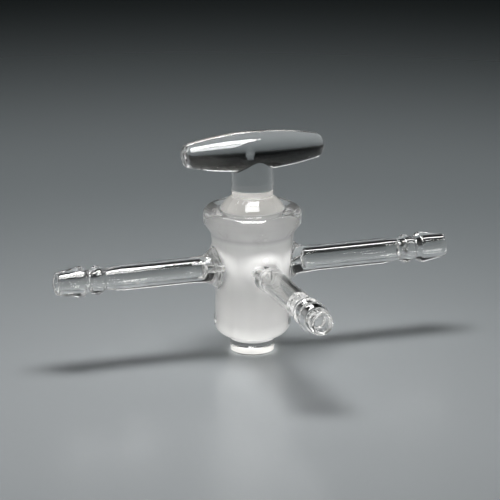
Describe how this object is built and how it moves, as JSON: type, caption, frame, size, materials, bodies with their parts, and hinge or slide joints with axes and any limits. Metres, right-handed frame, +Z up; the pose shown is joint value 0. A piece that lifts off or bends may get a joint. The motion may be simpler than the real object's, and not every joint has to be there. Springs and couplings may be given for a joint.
{
  "type": "glass stopcock",
  "caption": "Laboratory glass stopcock: waisted barrel with barbed hose arms set in a T, and a ground taper plug with a bar grip that turns to connect or shut the arms.",
  "frame": {"origin": "centre of the flat foot at the plug's small end, which the stopcock stands on", "axes": "+Z up along the axis that the plug turns about, +X along the right arm, -Y along the front arm"},
  "size_m": [0.1296, 0.0805, 0.0719],
  "materials": {
    "barrel_glass": "clear fire-polished glass, ground matt in the seat",
    "plug_glass": "clear pressed glass, ground matt on the taper"
  },
  "bodies": {
    "barrel": {"barrel": "barrel_glass"},
    "plug": {"plug": "plug_glass"}
  },
  "joints": [
    {"name": "plug_turn", "type": "hinge", "parent": "barrel", "child": "plug", "pos_m": [0, 0, 0], "axis": [0, 0, 1], "continuous": true}
  ]
}
